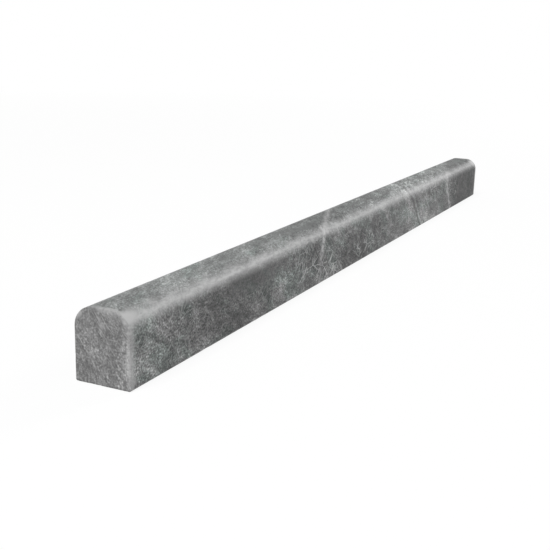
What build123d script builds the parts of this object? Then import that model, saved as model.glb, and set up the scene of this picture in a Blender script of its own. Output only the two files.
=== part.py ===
"""A honed marble liner tile: one bar of stone, sawn to length, with a flat
back for the adhesive and two rounded long edges on its face.

The bar lies on its back. X runs along its length, Y across its width and Z
from the back up to the face. The origin is the middle of the back. All
sizes are in millimetres.
"""

import os

from build123d import *

# The bar as it is sawn from the slab: the metric cut that is sold as
# 12 by 5/8 by 3/4 inch
LENGTH = 305.0
WIDTH = 15.0
DEPTH = 18.0

# The two long edges of the face, cut with a profile wheel
FACE_EDGE_RADIUS = 5.0

# The edges of the end cuts, eased with a hand pad so that they don't chip
END_EDGE_RADIUS = 0.5

# The edges of the back are as sawn, with only the knife edge taken off
BACK_ARRIS = 0.3


def bar_profile():
    """The section of the bar, with the back on Y = 0 and the face at the top."""
    blank = Rectangle(WIDTH, DEPTH, align=(Align.CENTER, Align.MIN))
    face_corners = blank.vertices().group_by(Axis.Y)[-1]
    rounded = fillet(face_corners, FACE_EDGE_RADIUS)
    back_corners = rounded.vertices().group_by(Axis.Y)[0]
    return chamfer(back_corners, BACK_ARRIS)


def sawn_bar(profile):
    """The profile run out along X, half of the length to each side."""
    return extrude(Plane.YZ * profile, amount=LENGTH / 2, both=True)


def ease_ends(bar):
    """Round the outline of both end cuts, all but the edges on the back."""
    ends = bar.faces().sort_by(Axis.X)
    outlines = ends[0].edges() + ends[-1].edges()
    above_back = outlines.filter_by(lambda edge: edge.center().Z > BACK_ARRIS)
    return fillet(above_back, END_EDGE_RADIUS)


liner_tile = ease_ends(sawn_bar(bar_profile()))

os.makedirs("parts", exist_ok=True)
export_step(liner_tile, "parts/liner_tile.step")
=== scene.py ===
# %% [markdown]
# A liner tile of honed grey marble. A liner is a slim bar of stone, set as a
# trim course between the field tiles of a wall. It is sawn from a slab, its
# face edges are rounded with a profile wheel, and all of it but the back is
# honed, which is rubbed smooth without being polished.
#
# This script dresses the solid from the CAD model. It models the bar again
# with the small faults that a stone has, builds the marble as a solid
# pattern in three dimensions, and lights it as in a small studio.

import math

import bmesh
import bpy
from mathutils import Matrix, Vector, noise


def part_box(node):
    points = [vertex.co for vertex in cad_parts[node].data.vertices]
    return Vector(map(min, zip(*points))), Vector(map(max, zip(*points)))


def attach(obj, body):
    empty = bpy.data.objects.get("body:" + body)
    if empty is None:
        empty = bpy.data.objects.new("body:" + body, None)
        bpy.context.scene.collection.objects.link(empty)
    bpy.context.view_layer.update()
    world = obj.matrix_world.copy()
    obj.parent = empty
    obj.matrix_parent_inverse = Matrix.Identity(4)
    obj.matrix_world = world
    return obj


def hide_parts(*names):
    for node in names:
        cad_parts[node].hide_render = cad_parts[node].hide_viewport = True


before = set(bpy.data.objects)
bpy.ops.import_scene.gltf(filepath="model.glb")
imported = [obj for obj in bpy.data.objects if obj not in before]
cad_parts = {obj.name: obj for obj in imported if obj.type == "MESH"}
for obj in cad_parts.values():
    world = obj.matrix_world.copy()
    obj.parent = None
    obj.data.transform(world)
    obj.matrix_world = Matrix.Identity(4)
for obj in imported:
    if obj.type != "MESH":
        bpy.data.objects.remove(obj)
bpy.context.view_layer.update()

# %% [markdown]
# The overall sizes come from the CAD node, so the dressed bar can't drift
# away from it. Only the radii are said again here, because a box doesn't
# hold them. Blender counts in metres and a stone cutter in millimetres, so
# two small functions turn one into the other and back.

# %% Sizes of the bar
MM_PER_METRE = 1000


def mm(value):
    """Millimetres, in metres."""
    return value / MM_PER_METRE


def in_mm(length):
    """Metres, in millimetres."""
    return length * MM_PER_METRE


low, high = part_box("liner_tile")
LENGTH = high.x - low.x
WIDTH = high.y - low.y
DEPTH = high.z - low.z
FACE_RADIUS = mm(5.0)
END_RADIUS = mm(0.5)
BACK_ARRIS = mm(0.3)
print("bar", [round(in_mm(size), 2) for size in (LENGTH, WIDTH, DEPTH)], "mm")

# %% [markdown]
# Colours are written as a designer reads them off a screen, as sRGB hex.
# Shaders add and multiply light, so they need the linear values, and this
# one function makes them.

# %% Colours from hex
def linear(code):
    """An sRGB hex colour as linear red, green, blue and alpha."""
    shares = [int(code[place:place + 2], 16) / 255 for place in (1, 3, 5)]
    curved = [s / 12.92 if s <= 0.04045 else ((s + 0.055) / 1.055) ** 2.4 for s in shares]
    return (*curved, 1.0)


# %% [markdown]
# The bar starts as a box. Its two long face edges are beveled with many
# segments, which is what a profile wheel does to the stone, and its two
# long back edges lose only their knife edge. The outline of each end cut is
# then eased by a much smaller bevel that runs round the large one. Beveling
# in the order of the real work lets each operator meet the edges that the
# one before it has left.

# %% The blank: a box with rounded and eased edges
FACE_SEGMENTS = 12
END_SEGMENTS = 4
TINY = mm(0.01)
LONG_EDGE = 0.9 * LENGTH
OUTER_EDGE = 0.4 * WIDTH


def near(value, target):
    """Whether two lengths are the same, within a hundredth of a millimetre."""
    return abs(value - target) < TINY


def ease(stone, edges, radius, segments):
    """Round these edges to a radius, or chamfer them with one segment."""
    bmesh.ops.bevel(stone, geom=edges, offset=radius, offset_type="OFFSET", segments=segments,
                    profile=0.5, affect="EDGES", material=-1, clamp_overlap=True)


def long_edges(stone, height):
    """The outer edges at this height that run the whole length of the bar."""
    level = [e for e in stone.edges if all(near(v.co.z, height) for v in e.verts)]
    return [e for e in level if e.calc_length() > LONG_EDGE and abs(e.verts[0].co.y) > OUTER_EDGE]


def end_outline(stone):
    """The edges round both end cuts, all but those on the back."""
    on_end = [e for e in stone.edges if all(near(abs(v.co.x), LENGTH / 2) for v in e.verts)]
    return [e for e in on_end if sum(v.co.z for v in e.verts) / 2 > BACK_ARRIS]


stone = bmesh.new()
bmesh.ops.create_cube(stone, size=1)
bmesh.ops.scale(stone, vec=(LENGTH, WIDTH, DEPTH), verts=stone.verts)
bmesh.ops.translate(stone, vec=(0, 0, DEPTH / 2), verts=stone.verts)
ease(stone, long_edges(stone, DEPTH), FACE_RADIUS, FACE_SEGMENTS)
ease(stone, long_edges(stone, 0), BACK_ARRIS, 1)
ease(stone, end_outline(stone), END_RADIUS, END_SEGMENTS)
print("blank", len(stone.faces), "faces")

# %% [markdown]
# A surface can only be uneven where it has vertices. The long edges are
# divided in one step, and the flat faces are then cut by planes, a little
# wider apart. One more plane goes right beside each tangent line, on its
# flat side, so that the smooth shading of a rounded edge stops there and
# doesn't spread over the flat face.

# %% Cut the faces into a fine grid
ROW = mm(0.75)
FLAT_STEP = mm(0.8)
GUARD = mm(0.15)
CUT_SLACK = mm(0.001)
X, Y, Z = range(3)


def cut(stone, axis, place):
    """Cut the whole mesh by a plane across one axis."""
    normal = Vector((0, 0, 0))
    normal[axis] = 1
    everything = stone.verts[:] + stone.edges[:] + stone.faces[:]
    bmesh.ops.bisect_plane(stone, geom=everything, dist=CUT_SLACK,
                           plane_co=normal * place, plane_no=normal)


def steps(start, end, step):
    """Even places strictly between two ends, about a step apart."""
    count = max(1, round((end - start) / step))
    return [start + (end - start) * k / count for k in range(1, count)]


whole_length = [e for e in stone.edges if e.calc_length() > LONG_EDGE]
bmesh.ops.subdivide_edges(stone, edges=whole_length, cuts=round(LENGTH / ROW), use_grid_fill=True)

flat_half = WIDTH / 2 - FACE_RADIUS
flat_top = DEPTH - FACE_RADIUS
for side in (-1, 1):
    cut(stone, X, side * (LENGTH / 2 - END_RADIUS - GUARD))
    cut(stone, Y, side * (flat_half - GUARD))
    cut(stone, Y, side * (WIDTH / 2 - END_RADIUS - GUARD))
cut(stone, Z, flat_top - GUARD)
cut(stone, Z, BACK_ARRIS + GUARD)
for level in steps(BACK_ARRIS, flat_top, FLAT_STEP) + steps(flat_top, DEPTH, FLAT_STEP):
    cut(stone, Z, level)
for place in steps(-WIDTH / 2 + BACK_ARRIS, WIDTH / 2 - BACK_ARRIS, FLAT_STEP):
    cut(stone, Y, place)
print("grid", len(stone.verts), "vertices", len(stone.faces), "faces")

# %% [markdown]
# Nothing rubbed by hand is quite flat or quite straight. Each vertex moves
# a little inwards by a smooth noise: a few hundredths of a millimetre over
# the honed faces, and up to a fifth of a millimetre in small nicks where a
# sawn edge is still sharp. The moves only ever go inwards, so the bar stays
# inside the size that it was cut to.

# %% Small faults of the surface
HONE_WAVE = mm(28)
HONE_DEPTH = mm(0.03)
NICK_SIZE = mm(1.6)
NICK_DEPTH = mm(0.22)
NICK_REACH = mm(0.5)
NICK_RARITY = 0.25


def edge_distance(point):
    """How far a point of the surface is from the nearest sharp edge on the back or round an end."""
    from_end = LENGTH / 2 - abs(point.x)
    from_side = WIDTH / 2 - abs(point.y)
    from_face = DEPTH - point.z
    gaps = sorted((max(from_end, 0), max(min(from_side, from_face), 0), max(point.z, 0)))
    return math.hypot(gaps[0], gaps[1])


def fault(point):
    """How deep the surface lies under the ideal one at this point."""
    wave = 0.5 + 0.5 * noise.noise(point / HONE_WAVE)
    bite = max(0.0, noise.noise(point / NICK_SIZE) - NICK_RARITY)
    sharp = max(0.0, 1 - edge_distance(point) / NICK_REACH)
    return HONE_DEPTH * wave + NICK_DEPTH * bite * sharp


stone.normal_update()
for vertex in stone.verts:
    vertex.co -= vertex.normal * fault(vertex.co)
bmesh.ops.recalc_face_normals(stone, faces=stone.faces)

bar_mesh = bpy.data.meshes.new("honed_bar")
stone.to_mesh(bar_mesh)
stone.free()
bar_mesh.shade_smooth()
bar = bpy.data.objects.new("honed_bar", bar_mesh)
bpy.context.scene.collection.objects.link(bar)
bar_mesh.calc_loop_triangles()
print("bar", len(bar_mesh.loop_triangles), "triangles")

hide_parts("liner_tile")
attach(bar, "root")

# %% [markdown]
# Materials are trees of nodes. One helper adds a node of any kind with its
# settings, and feeds its sockets with values, sockets or whole nodes, so a
# pattern reads from top to bottom like a recipe.

# %% A helper that adds a node
def add(tree, kind, feeds, **settings):
    """Add a shader node. A feed is a value, a socket or a node, whose first open output is used."""
    made = tree.nodes.new("ShaderNode" + kind)
    for name, value in settings.items():
        setattr(made, name, value)
    for socket, value in feeds.items():
        if isinstance(value, bpy.types.Node):
            value = next(out for out in value.outputs if out.enabled)
        if isinstance(value, bpy.types.NodeSocket):
            tree.links.new(value, made.inputs[socket])
        else:
            made.inputs[socket].default_value = value
    return made


# %% [markdown]
# Marble is limestone that was squeezed and heated until it grew new crystals.
# The squeeze left it layered, and drew its patches out along one direction
# of the layers, the grain. A face of the bar shows the line where it cuts
# them. So the pattern is made in three dimensions on Object coordinates,
# squeezed across the layers and drawn out along the grain, and all six
# faces then agree at the edges. A picture wrapped round the bar would not.

# %% The layers and the grain of the stone
marble = bpy.data.materials.new("honed_grey_marble")
marble.use_nodes = True
tree = marble.node_tree
tree.nodes.clear()

LAYERS = Vector((-0.36, 0.79, -0.50)).normalized()
GRAIN = Vector((0.93, 0.33, -0.15)).normalized()
CROSS_CRACKS = Vector((0.72, 0.35, -0.60)).normalized()
LEVEL_CRACKS = Vector((-0.15, 0.30, 0.94)).normalized()
BAR = Vector((1, 0, 0))
LAYER_PRESS = 1.6
GRAIN_DRAW = 0.48

place = add(tree, "TexCoord", {}).outputs["Object"]
stone_mm = add(tree, "VectorMath", {0: place, "Scale": MM_PER_METRE}, operation="SCALE")


def across(normal):
    """How far a point lies across a plane through the middle of the back, in millimetres."""
    return add(tree, "VectorMath", {0: stone_mm, 1: normal}, operation="DOT_PRODUCT")


def pressed(point, direction, factor):
    """Coordinates that flatten a pattern along a direction, or draw it out by a factor below one."""
    more = add(tree, "VectorMath", {0: point, 1: direction * (factor - 1)}, operation="DOT_PRODUCT")
    push = add(tree, "VectorMath", {0: direction, "Scale": more}, operation="SCALE")
    return add(tree, "VectorMath", {0: point, 1: push}, operation="ADD")


def noise_of(point, size, detail, rough):
    """A noise between 0 and 1 whose largest features have this size, in millimetres."""
    return add(tree, "TexNoise", {"Vector": point, "Scale": 1 / size, "Detail": detail, "Roughness": rough})


def ramp(value, start, end, first, last):
    """A value turned smoothly from one range to another."""
    return add(tree, "MapRange", {"Value": value, "From Min": start, "From Max": end,
                                  "To Min": first, "To Max": last}, interpolation_type="SMOOTHSTEP")


drawn_out = pressed(stone_mm, GRAIN, GRAIN_DRAW)
layered = pressed(drawn_out, LAYERS, LAYER_PRESS)
print("coordinates", len(tree.nodes), "nodes")

# %% [markdown]
# Two more helpers serve all over. One pushes the coordinates about by a
# noise, so that what is drawn on them looks torn and not ruled. The other
# makes a soft patch about a place, for the spots where this bar is darker,
# paler, calmer or livelier than the rest of it.

# %% Bent coordinates and soft patches
RAGGED_SIZE = 7.0
RAGGED_REACH = 5.0
PATCH_CORE = 0.35


def bent(point, size, reach):
    """Coordinates that are pushed about by up to a reach, over features of a size, in millimetres."""
    pull = noise_of(point, size, 2.0, 0.5).outputs["Color"]
    centred = add(tree, "VectorMath", {0: pull, 1: (0.5, 0.5, 0.5)}, operation="SUBTRACT")
    push = add(tree, "VectorMath", {0: centred, "Scale": 2 * reach}, operation="SCALE")
    return add(tree, "VectorMath", {0: point, 1: push}, operation="ADD")


ragged_mm = bent(stone_mm, RAGGED_SIZE, RAGGED_REACH)


def patch(centre, reach, inside, outside=1.0):
    """A soft patch about a centre, with its own reach along each axis, in millimetres."""
    off = add(tree, "VectorMath", {0: ragged_mm, 1: centre}, operation="SUBTRACT")
    share = add(tree, "VectorMath", {0: off, 1: reach}, operation="DIVIDE")
    return ramp(add(tree, "VectorMath", {0: share}, operation="LENGTH"), PATCH_CORE, 1.0, inside, outside)


print("ragged coordinates", len(tree.nodes), "nodes")

# %% [markdown]
# The ground is a mixture of pale calcite and dark dust, in lumps of every
# size from bands of a few centimetres down to single crystals of under half
# a millimetre. A fractal noise has just that: each octave halves the size,
# and a roughness near one keeps them all about equally strong. The grey is
# the power of a number, because a stone that is twice as dusty lets half as
# much light back out, which is a product and not a sum.
#
# The vigour of the pattern isn't the same all over. It is calmer in two
# patches and on the ends, where the saw has left a film of dust, and
# livelier low on the sides and along the middle of the face.

# %% The grey ground
GROUND_SIZE = 9.0
GROUND_CONTRAST = 100.0
SPECK_SIZE = 0.5
SPECK_CONTRAST = 22.0

along_mm, side_mm, up_mm = add(tree, "SeparateXYZ", {0: stone_mm}).outputs
from_middle = add(tree, "Math", {0: along_mm}, operation="ABSOLUTE")
from_end = add(tree, "Math", {0: in_mm(LENGTH) / 2, 1: from_middle}, operation="SUBTRACT")

calm_side = patch((-92, -8, 12.5), (26, 6, 5.5), 0.48)
calm_face = patch((-50, -2, 18), (14, 4, 4), 0.45)
lively_face = patch((45, -1, 19), (110, 9, 6), 1.6)
toward_face = ramp(up_mm, 9.0, 16.0, 1.2, 0.95)
toward_end = ramp(from_end, 0.2, 1.0, 0.82, 1.0)
vigour = add(tree, "Math", {0: calm_side, 1: calm_face}, operation="MINIMUM")
for share in (lively_face, toward_face, toward_end):
    vigour = add(tree, "Math", {0: vigour, 1: share}, operation="MULTIPLY")


def tone_of(pattern, contrast):
    """A noise about one half turned into a tone about one. The contrast is the ratio between its ends."""
    swing = add(tree, "Math", {0: pattern, 1: 0.5}, operation="SUBTRACT")
    eased = add(tree, "Math", {0: swing, 1: vigour}, operation="MULTIPLY")
    return add(tree, "Math", {0: contrast, 1: eased}, operation="POWER")


lump_tone = tone_of(noise_of(layered, GROUND_SIZE, 4.0, 1.0), GROUND_CONTRAST)
speck_tone = tone_of(noise_of(stone_mm, SPECK_SIZE, 1.0, 0.5), SPECK_CONTRAST)
ground_tone = add(tree, "Math", {0: lump_tone, 1: speck_tone}, operation="MULTIPLY")
print("ground", len(tree.nodes), "nodes")

# %% [markdown]
# The grey isn't neutral all over. Patches with more chlorite in them lean
# to green, and are a little darker. A slow noise chooses between the two,
# and the bed along the face is greener than the rest. On the end cuts stone
# dust hides the green, so it fades out there.

# %% Two greys
NEUTRAL_GREY = "#666666"
GREEN_GREY = "#5F6462"

green_patches = ramp(noise_of(layered, 8.0, 3.0, 0.6), 0.44, 0.64, 0.0, 1.0)
green_bed = ramp(up_mm, 13.0, 18.0, 0.0, 0.5)
chlorite = add(tree, "Math", {0: green_patches, 1: green_bed}, operation="MAXIMUM")
off_end = ramp(from_end, 0.2, 1.5, 0.0, 1.0)
lean = add(tree, "Math", {0: chlorite, 1: off_end}, operation="MULTIPLY")
ground = add(tree, "Mix", {0: lean, 6: linear(NEUTRAL_GREY), 7: linear(GREEN_GREY)}, data_type="RGBA")
toned = add(tree, "VectorMath", {0: ground, "Scale": ground_tone}, operation="SCALE")
print("greys", NEUTRAL_GREY, "and", GREEN_GREY)

# %% [markdown]
# A web of hair-fine pale lines runs through all of it: cracks that opened
# under the squeeze and healed with clean calcite. Those along the layers
# wander a little, and such a line is where a smooth noise passes through its
# middle value. The others are flat and end where they meet, like the walls
# between the cells of a foam. A second noise breaks both into short strokes,
# and most of them lie round the near vein and towards the far end.

# %% The web of healed cracks
BEND_SIZE = 5.0
BEND_REACH = 0.35
WALL_SHARE = 0.85
THREAD_BREAKS = (0.48, 0.58)
WALL_BREAKS = (0.44, 0.54)

gaps = noise_of(layered, 3.4, 2.0, 0.6).outputs["Color"]
gaps = add(tree, "SeparateXYZ", {0: gaps}).outputs


def threads(point, size, width, gap):
    """Thin lines, one where a noise crosses its middle, that are broken by a noise of their own."""
    wavy = bent(point, BEND_SIZE, BEND_REACH)
    off = add(tree, "Math", {0: noise_of(wavy, size, 1.0, 0.5), 1: 0.5}, operation="SUBTRACT")
    line = ramp(add(tree, "Math", {0: off}, operation="ABSOLUTE"), 0.0, width, 1.0, 0.0)
    return add(tree, "Math", {0: line, 1: ramp(gap, *THREAD_BREAKS, 0.0, 1.0)}, operation="MULTIPLY")


def walls(point, size, width, gap):
    """The flat walls between cells, seen as straight lines that meet, broken by the noise of a gap."""
    cells = add(tree, "TexVoronoi", {"Vector": point, "Scale": 1 / size}, feature="DISTANCE_TO_EDGE")
    line = ramp(cells.outputs["Distance"], 0.0, width, WALL_SHARE, 0.0)
    return add(tree, "Math", {0: line, 1: ramp(gap, *WALL_BREAKS, 0.0, 1.0)}, operation="MULTIPLY")


along_layers = threads(pressed(drawn_out, LAYERS, 8.0), 9.0, 0.060, gaps[0])
rising_walls = walls(pressed(stone_mm, CROSS_CRACKS, 3.5), 8.5, 0.050, gaps[1])
level_walls = walls(pressed(stone_mm, LEVEL_CRACKS, 1.8), 6.0, 0.040, gaps[2])
on_end = ramp(from_end, 0.2, 1.0, 1.6, 0.5)
all_lines = add(tree, "Math", {0: along_layers, 1: on_end}, operation="MULTIPLY")
for lines in (rising_walls, level_walls):
    all_lines = add(tree, "Math", {0: all_lines, 1: lines}, operation="MAXIMUM")

web = ramp(noise_of(layered, 16.0, 2.0, 0.5), 0.38, 0.60, 0.3, 1.0)
crackle = patch((-30, -8, 8), (46, 9, 15), 1.45, 0.45)
far_crackle = patch((90, -8, 8), (48, 9, 15), 2.2)
for share in (crackle, far_crackle, vigour, all_lines):
    web = add(tree, "Math", {0: web, 1: share}, operation="MULTIPLY")
print("web", len(tree.nodes), "nodes")

# %% [markdown]
# A few single veins and seams are wide enough to know this bar by. Each is
# a plane through the stone, so it shows as a line that goes on over the
# rounded edge from one face to the next. A noise lets it wander, and the
# near vein is only a row of strokes on the long side, with a blotch of
# calcite where it crosses the rounded edge.

# %% Single veins and seams
PALE_VEIN_NEAR = (Vector((-0.36, 0.93, 0.07)), 10.3)
PALE_VEIN_FAR = (Vector((-0.36, 0.93, -0.19)), -45.2)
FAR_VEIN_WANDER = 0.9
SEAM_NORMAL = Vector((-0.468, 0.643, -0.52))
DARK_SEAM = (SEAM_NORMAL, -33.5)
DARK_SEAM_BESIDE = (SEAM_NORMAL, -35.6)
OVER_THE_EDGE = (15.5, 17.8)


def beyond(plane, wander):
    """How far a point lies beyond a plane that wanders by some millimetres."""
    normal, offset = plane
    swing = ramp(noise_of(stone_mm, 9.0, 3.0, 0.6), 0.2, 0.8, offset - wander, offset + wander)
    return add(tree, "Math", {0: across(normal), 1: swing}, operation="SUBTRACT")


def seam(plane, wander, half_width, low_tone, high_tone):
    """A band along a plane, from one tone beside it to another in it."""
    off = add(tree, "Math", {0: beyond(plane, wander)}, operation="ABSOLUTE")
    return ramp(off, 0.0, half_width, high_tone, low_tone)


spread = ramp(up_mm, *OVER_THE_EDGE, 0.9, 1.6)
near_vein = seam(PALE_VEIN_NEAR, 0.4, spread, 0.0, 0.95)
for share in (ramp(up_mm, 6.0, 13.0, 0.45, 1.0), ramp(up_mm, *OVER_THE_EDGE, 1.0, 0.45)):
    near_vein = add(tree, "Math", {0: near_vein, 1: share}, operation="MULTIPLY")
blotch = patch((-41, -6.0, 16.5), (3.2, 3.0, 3.0), 0.6, 0.0)
near_vein = add(tree, "Math", {0: near_vein, 1: blotch}, operation="MAXIMUM")

far_vein = seam(PALE_VEIN_FAR, FAR_VEIN_WANDER, 1.1, 0.0, 0.7)
off_face = ramp(up_mm, *OVER_THE_EDGE, 1.0, 0.15)
far_vein = add(tree, "Math", {0: far_vein, 1: off_face}, operation="MULTIPLY")
both_veins = add(tree, "Math", {0: near_vein, 1: far_vein}, operation="MAXIMUM")
strokes = ramp(noise_of(stone_mm, 1.2, 3.0, 0.7), 0.38, 0.55, 0.15, 1.0)
broken_veins = add(tree, "Math", {0: both_veins, 1: strokes}, operation="MULTIPLY")

one_seam = seam(DARK_SEAM, 0.7, 0.9, 1.0, 0.34)
other_seam = seam(DARK_SEAM_BESIDE, 1.2, 0.8, 1.0, 0.52)
seams = add(tree, "Math", {0: one_seam, 1: other_seam}, operation="MULTIPLY")
print("veins and seams", len(tree.nodes), "nodes")

# %% [markdown]
# Broad clouds lie behind all that, dark and pale ones, and beyond the far
# vein the whole stone is darker and more even.

# %% Broad clouds
VEIN_FADE = (-4.0, 0.0)

past_far_vein = beyond(PALE_VEIN_FAR, FAR_VEIN_WANDER)
darker_beyond = ramp(past_far_vein, *VEIN_FADE, 0.6, 1.0)
clouds = (
    patch((-150, -8, 8), (32, 6, 14), 1.3),
    patch((-102, -8, 9), (34, 8, 13), 0.6),
    patch((-108, -1, 19), (44, 9, 6), 1.36),
    patch((-50, -8, 9), (17, 8, 12), 0.62),
    patch((-8, -7, 5), (36, 8, 11), 0.5),
    patch((26, -8, 12), (20, 6, 6), 0.8),
    patch((-24, -1, 19), (54, 8, 7), 0.56),
    patch((22, -1, 19), (22, 6, 5), 0.78),
    patch((54, -2, 19), (22, 7, 8), 1.65),
    patch((56, -7, 6), (24, 8, 14), 1.3),
    patch((66, -6, 1), (44, 10, 7), 1.4),
    patch((80, -8, 11), (18, 6, 8), 0.7),
    patch((103, -1, 19), (18, 7, 6), 1.25),
    patch((130, -9, 7), (50, 8, 20), 0.3),
    darker_beyond,
)
clouded = seams
for cloud in clouds:
    clouded = add(tree, "Math", {0: clouded, 1: cloud}, operation="MULTIPLY")
seamed = add(tree, "VectorMath", {0: toned, "Scale": clouded}, operation="SCALE")
web = add(tree, "Math", {0: web, 1: darker_beyond}, operation="MULTIPLY")
print("clouds", len(clouds))

# %% [markdown]
# The rounded edges and the eased ends were cut with a wheel or a hand pad,
# not with the big honing heads, so their surface is scratched a little
# coarser. Fine scratches scatter light, and the dark stone looks paler
# there. The paler colour painted on those edges is partly this wear and
# partly a painted highlight, which stands for the sheen of the lamps there.
# Two measures tell where wheel and pad have been, and so where that colour
# goes: how far a point lies under the outline of the section, and how far it
# has turned round a rounded edge, from the face to the side. Both come from
# the part of a point that is past the centre of the rounding.

# %% Measures for the rubbed and highlighted edges
beside = add(tree, "Math", {0: side_mm}, operation="ABSOLUTE")
out_y = add(tree, "Math", {0: beside, 1: in_mm(flat_half)}, operation="SUBTRACT")
out_z = add(tree, "Math", {0: up_mm, 1: in_mm(flat_top)}, operation="SUBTRACT")
round_y = add(tree, "Math", {0: out_y, 1: 0.0}, operation="MAXIMUM")
round_z = add(tree, "Math", {0: out_z, 1: 0.0}, operation="MAXIMUM")
corner = add(tree, "CombineXYZ", {0: round_y, 1: round_z})
corner_length = add(tree, "VectorMath", {0: corner}, operation="LENGTH")
inner = add(tree, "Math", {0: out_y, 1: out_z}, operation="MAXIMUM")
inner = add(tree, "Math", {0: inner, 1: 0.0}, operation="MINIMUM")
outline = add(tree, "Math", {0: corner_length, 1: inner}, operation="ADD")
under = add(tree, "Math", {0: in_mm(FACE_RADIUS), 1: outline}, operation="SUBTRACT")
turn = add(tree, "Math", {0: round_y, 1: round_z}, operation="ARCTAN2")
along_bar = pressed(stone_mm, BAR, 0.35)
print("measures", len(tree.nodes), "nodes")

# %% [markdown]
# A hand pad eased the ends. Its rub is full on the eased edge and dies away
# raggedly over a few millimetres. The pale colour of this rub is partly wear
# and partly a painted highlight, which stands for the sheen of the lamps on
# the eased edges. It is strongest on the corner where a rounded edge meets an
# end, where the pad came from three sides and where the painted highlight is
# brightest, and from there it runs some way along the rounded edge. On the
# end cut itself it is weaker, and on the long side turned away from the lamps
# it is weaker too, since the painted highlight isn't there. The end cut has a
# film of dust.

# %% Rubbed by a pad round the ends, with a painted highlight
END_RUB_HIGHLIGHT_TOP = 1.05
RUB_REACH = 3.2
RUB_PLATEAU = 0.35
RUB_RAGGED = 2.4
RUB_TIGHTNESS = 1.4
RUB_ON_END = 0.7
RUB_HIGHLIGHT_TURNED_AWAY = 0.3
CORNER_HIGHLIGHT_TOP = 1.3
CORNER_START = 2.0
CORNER_REACH = 4.4
CORNER_STRETCH = 2.5
CORNER_ON_END = 0.45
NEAR_END = (0.0, 0.6)
END_DUST = 0.18

past_ease = add(tree, "Math", {0: from_end, 1: RUB_PLATEAU}, operation="SUBTRACT")
past_ease = add(tree, "Math", {0: past_ease, 1: 0.0}, operation="MAXIMUM")
from_edge = add(tree, "CombineXYZ", {0: past_ease, 1: under})
tight = add(tree, "VectorMath", {0: from_edge, "Scale": RUB_TIGHTNESS}, operation="SCALE")
to_end_edge = add(tree, "VectorMath", {0: tight}, operation="LENGTH")
ragged = ramp(noise_of(stone_mm, 1.2, 3.0, 0.8), 0.3, 0.7, 0.0, RUB_RAGGED)
ragged_reach = add(tree, "Math", {0: RUB_REACH + 0.5 * RUB_RAGGED, 1: ragged}, operation="SUBTRACT")
# Paler colour along the end edges: partly the pad's wear, partly a painted highlight.
end_rub_and_highlight = ramp(to_end_edge, 0.0, ragged_reach, END_RUB_HIGHLIGHT_TOP, 0.0)

to_side = add(tree, "Math", {0: in_mm(WIDTH) / 2, 1: beside}, operation="SUBTRACT")
to_face = add(tree, "Math", {0: in_mm(DEPTH), 1: up_mm}, operation="SUBTRACT")
along_edge = add(tree, "Math", {0: from_end, 1: CORNER_STRETCH}, operation="DIVIDE")
to_corner = add(tree, "CombineXYZ", {0: along_edge, 1: to_side, 2: to_face})
to_corner = add(tree, "VectorMath", {0: to_corner}, operation="LENGTH")
# The corner is mostly a painted highlight, where the lamps' sheen is brightest, on top of the pad's rub.
corner_rub_and_highlight = ramp(to_corner, CORNER_START, CORNER_REACH, CORNER_HIGHLIGHT_TOP, 0.0)

# Weaker on the long side turned away from the lamps: painted highlight that follows the light.
near_side = ramp(side_mm, -3.0, 6.0, 1.0, RUB_HIGHLIGHT_TURNED_AWAY)
for share in (near_side, ramp(from_end, *NEAR_END, RUB_ON_END, 1.0)):
    end_rub_and_highlight = add(tree, "Math", {0: end_rub_and_highlight, 1: share}, operation="MULTIPLY")
for share in (near_side, ramp(from_end, *NEAR_END, CORNER_ON_END, 1.0)):
    corner_rub_and_highlight = add(tree, "Math", {0: corner_rub_and_highlight, 1: share}, operation="MULTIPLY")
dust = ramp(from_end, 0.3, 1.0, END_DUST, 0.0)
print("pad", len(tree.nodes), "nodes")

# %% [markdown]
# The profile wheel rubbed the rounded edges. The pale band painted there is
# partly that rub and partly a painted highlight, the sheen that the lamps
# leave along the rounded edge. It climbs to a crest a little past halfway
# from the face to the side, where that highlight is brightest, and then falls
# off again. It starts earlier and is stronger towards the left end, it is
# weaker beyond the far vein, it wobbles a little, and it only lies at the
# surface. The crystals of the stone show through it and through the rub of
# the pad, but not on the corner.

# %% Rubbed by a wheel over the rounded edges, with a painted highlight
FACE_RUB_HIGHLIGHT_NEAR = 1.3
FACE_RUB_HIGHLIGHT_FAR = 0.95
FACE_RUB_POWER = 1.6
RUB_START_NEAR = math.radians(-6)
RUB_START_FAR = math.radians(12)
RUB_HIGHLIGHT_CREST = math.radians(53)
RUB_STOP = math.radians(88)
RUB_WOBBLE = math.radians(8)

wobble = ramp(noise_of(along_bar, 2.5, 3.0, 0.6), 0.3, 0.7, -RUB_WOBBLE, RUB_WOBBLE)
wobbled = add(tree, "Math", {0: turn, 1: wobble}, operation="ADD")
rub_start = ramp(along_mm, -140.0, -70.0, RUB_START_NEAR, RUB_START_FAR)
# The paler band, partly rub and partly painted highlight, climbs to its crest here and falls after it.
climb = add(tree, "MapRange", {"Value": wobbled, "From Min": rub_start, "From Max": RUB_HIGHLIGHT_CREST})
face_rub_and_highlight = add(tree, "Math", {0: climb, 1: FACE_RUB_POWER}, operation="POWER")
fall = add(tree, "MapRange", {"Value": turn, "From Min": RUB_HIGHLIGHT_CREST, "From Max": RUB_STOP,
                              "To Min": 1.0, "To Max": 0.0})
falling = add(tree, "Math", {0: fall, 1: FACE_RUB_POWER}, operation="POWER")
at_surface = ramp(under, 0.3, 1.6, 1.0, 0.0)
along = ramp(along_mm, -110.0, -40.0, FACE_RUB_HIGHLIGHT_NEAR, FACE_RUB_HIGHLIGHT_FAR)
past_vein = ramp(past_far_vein, *VEIN_FADE, 0.7, 1.0)
for share in (falling, at_surface, along, past_vein):
    face_rub_and_highlight = add(tree, "Math", {0: face_rub_and_highlight, 1: share}, operation="MULTIPLY")

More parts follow.
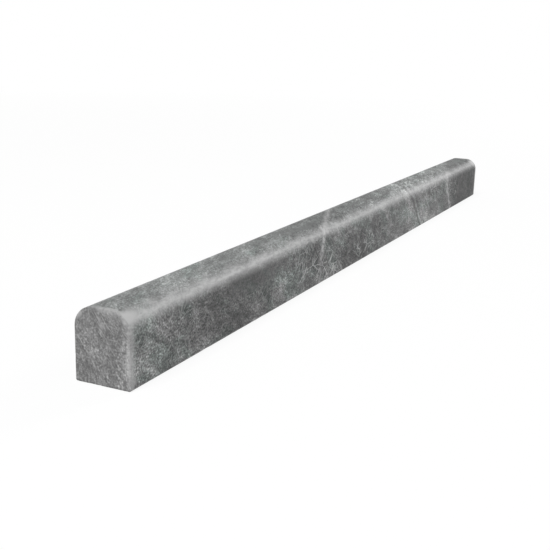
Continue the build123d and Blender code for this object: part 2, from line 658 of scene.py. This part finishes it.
grains = ramp(noise_of(along_bar, 0.9, 2.0, 0.7), 0.35, 0.65, 0.65, 1.0)
# Wear and painted highlight of pad and wheel together, then the corner's painted highlight and the end
# cut's dust.
rub_dust_and_highlight = add(tree, "Math", {0: end_rub_and_highlight, 1: face_rub_and_highlight}, operation="MAXIMUM")
rub_dust_and_highlight = add(tree, "Math", {0: rub_dust_and_highlight, 1: grains}, operation="MULTIPLY")
for other in (corner_rub_and_highlight, dust):
    rub_dust_and_highlight = add(tree, "Math", {0: rub_dust_and_highlight, 1: other}, operation="MAXIMUM")
print("wheel", len(tree.nodes), "nodes")

# %% [markdown]
# The shader joins it: pale calcite over the toned ground, paler again where
# the edges were rubbed and where a highlight is painted on them, a surface
# that is smooth but not glossy, as honing leaves it, and a very slight
# relief. The rubbed edges are a little rougher, and the back keeps the marks
# of the saw, which run across the bar and give the adhesive something to hold
# on to.

# %% Put the marble together
CALCITE = "#BFBFBF"
RUBBED_AND_HIGHLIT_STONE = "#AEAEAE"
HONED_ROUGHNESS = 0.52
RUBBED_ROUGHNESS = 0.6
CALCITE_IOR = 1.55
SPECULAR_LEVEL = 0.2
WEB_STRENGTH = 0.7
RUB_AND_HIGHLIGHT_SHARE = 0.85
RELIEF_STRENGTH = 0.3
RELIEF_DEPTH = mm(0.03)
SAW_MARK_SIZE = 3.0
SAW_MARK_DEPTH = 4.0
SAW_MARK_PRESS = 6.0

web_share = add(tree, "Math", {0: web, 1: WEB_STRENGTH}, operation="MULTIPLY")
pale_share = add(tree, "Math", {0: web_share, 1: broken_veins}, operation="MAXIMUM")
veined = add(tree, "Mix", {0: pale_share, 6: seamed, 7: linear(CALCITE)}, data_type="RGBA")
# The grey that stands for rubbed stone and for the highlight painted on the edges.
rub_dust_highlight_share = add(tree, "Math", {0: rub_dust_and_highlight, 1: RUB_AND_HIGHLIGHT_SHARE}, operation="MULTIPLY")
rubbed_and_highlit = add(tree, "Mix", {0: rub_dust_highlight_share, 6: veined, 7: linear(RUBBED_AND_HIGHLIT_STONE)}, data_type="RGBA")
saw_marks = noise_of(pressed(stone_mm, BAR, SAW_MARK_PRESS), SAW_MARK_SIZE, 2.0, 0.5)
on_back = ramp(up_mm, 0.1, 0.4, SAW_MARK_DEPTH, 0.0)
saw_marks = add(tree, "Math", {0: saw_marks, 1: on_back}, operation="MULTIPLY")
height = add(tree, "Math", {0: ground_tone, 1: saw_marks}, operation="ADD")
relief = add(tree, "Bump", {"Strength": RELIEF_STRENGTH, "Distance": RELIEF_DEPTH, "Height": height})
roughness = ramp(rub_dust_and_highlight, 0.0, 1.0, HONED_ROUGHNESS, RUBBED_ROUGHNESS)
surface = add(tree, "BsdfPrincipled", {"Base Color": rubbed_and_highlit, "Roughness": roughness, "IOR": CALCITE_IOR,
                                       "Specular IOR Level": SPECULAR_LEVEL, "Normal": relief})
add(tree, "OutputMaterial", {"Surface": surface})
bar_mesh.materials.append(marble)
print("marble", len(tree.nodes), "nodes")

# %% [markdown]
# The camera stands where the photograph was taken from, off the left end and
# in front of the long side, and looks along the bar and down a little. Its
# place, its turns in degrees and its lens in millimetres were found by
# fitting the outline of the bar.

# %% The camera
CAMERA_PLACE = (mm(-308.75), mm(-115.98), mm(77.12))
CAMERA_TURN = 25.429
CAMERA_DIP = 14.794
CAMERA_ROLL = 1.582
CAMERA_LENS = 60.013
SENSOR_WIDTH = 36
CLIP_START = mm(5)


def camera_axes(turn, dip, roll):
    """Right, up and back of a camera that is turned from +X towards +Y, dipped and rolled, in degrees."""
    turn, dip, roll = (math.radians(angle) for angle in (turn, dip, roll))
    ahead = Vector((math.cos(dip) * math.cos(turn), math.cos(dip) * math.sin(turn), -math.sin(dip)))
    level = ahead.cross(Vector((0, 0, 1))).normalized()
    upright = level.cross(ahead)
    right = level * math.cos(roll) + upright * math.sin(roll)
    return right, upright * math.cos(roll) - level * math.sin(roll), -ahead


camera = bpy.data.objects.new("camera", bpy.data.cameras.new("camera"))
bpy.context.scene.collection.objects.link(camera)
turned = Matrix(camera_axes(CAMERA_TURN, CAMERA_DIP, CAMERA_ROLL)).transposed()
camera.matrix_world = Matrix.Translation(CAMERA_PLACE) @ turned.to_4x4()
camera.data.sensor_width = SENSOR_WIDTH
camera.data.lens = CAMERA_LENS
camera.data.clip_start = CLIP_START
bpy.context.scene.camera = camera
print("camera at", [round(in_mm(part)) for part in CAMERA_PLACE], "mm")

# %% [markdown]
# The floor is a white sheet. To the camera it is mostly its own white, so
# that the ground of the picture stays white, and partly lit, so that the bar
# still throws a soft shadow on it. Further off it becomes all its own white,
# and meets the white sky without a line. Reflections show the same white,
# so one small function tells which rays do, for the floor and for the sky.

# %% The floor
FLOOR_REACH = 3.0
FLOOR_DROP = mm(0.1)
FLOOR_WHITE = "#F2F2F2"
SHOWN_SHARE = 0.86
FADE_START = 0.25
FADE_END = 0.9
WHITE = (1, 1, 1, 1)


def meets_white(tree):
    """One for a ray that shows the white ground, seen directly, in a reflection or through glass."""
    rays = add(tree, "LightPath", {}).outputs
    seen = rays["Is Camera Ray"]
    for ray in ("Is Glossy Ray", "Is Transmission Ray"):
        seen = add(tree, "Math", {0: seen, 1: rays[ray]}, operation="MAXIMUM")
    return seen


bpy.ops.mesh.primitive_plane_add(size=2 * FLOOR_REACH, location=(0, 0, -FLOOR_DROP))
floor = bpy.context.object
floor.name = "floor"

paper = bpy.data.materials.new("white_paper")
paper.use_nodes = True
sheet = paper.node_tree
sheet.nodes.clear()
far_off = add(sheet, "VectorMath", {0: add(sheet, "TexCoord", {}).outputs["Object"]}, operation="LENGTH")
fade = add(sheet, "MapRange", {"Value": far_off, "From Min": FADE_START, "From Max": FADE_END,
                               "To Min": SHOWN_SHARE, "To Max": 1.0})
share = add(sheet, "Math", {0: meets_white(sheet), 1: fade}, operation="MULTIPLY")
lit = add(sheet, "BsdfDiffuse", {"Color": linear(FLOOR_WHITE)})
own = add(sheet, "Emission", {"Color": WHITE, "Strength": 1.0})
shown = add(sheet, "MixShader", {0: share, 1: lit, 2: own})
add(sheet, "OutputMaterial", {"Surface": shown})
floor.data.materials.append(paper)
print("floor", len(sheet.nodes), "nodes")

# %% [markdown]
# The light is that of a small tent: an even white sky for the world, and
# two soft boxes. The large one stands far over the left end and lights the
# end cut and the top. The small one stands low, beyond the right end, and
# its reflection runs along the rounded edge as a pale line.

# %% The lights
SKY_STRENGTH = 0.305


def soft_box(name, place, size, power):
    """A square lamp that faces the middle of the bar. Lengths are in metres and the power in watts."""
    lamp = bpy.data.lights.new(name, "AREA")
    lamp.shape = "SQUARE"
    lamp.size = size
    lamp.energy = power
    box = bpy.data.objects.new(name, lamp)
    bpy.context.scene.collection.objects.link(box)
    facing = (-Vector(place)).to_track_quat("-Z", "Y")
    box.matrix_world = Matrix.Translation(place) @ facing.to_matrix().to_4x4()


soft_box("over_left_end", (-1.13, -0.05, 1.89), 1.2, 42.0)
soft_box("beyond_right_end", (1.0, -0.36, 0.42), 0.3, 4.0)

world = bpy.data.worlds.new("tent")
bpy.context.scene.world = world
world.use_nodes = True
sky = world.node_tree
sky.nodes.clear()
glow = add(sky, "Background", {"Color": WHITE, "Strength": SKY_STRENGTH})
white = add(sky, "Background", {"Color": WHITE, "Strength": 1.0})
shown = add(sky, "MixShader", {0: meets_white(sky), 1: glow, 2: white})
add(sky, "OutputWorld", {"Surface": shown})

bpy.context.scene.view_settings.view_transform = "Standard"
print("lamps", [lamp.name for lamp in bpy.data.lights])
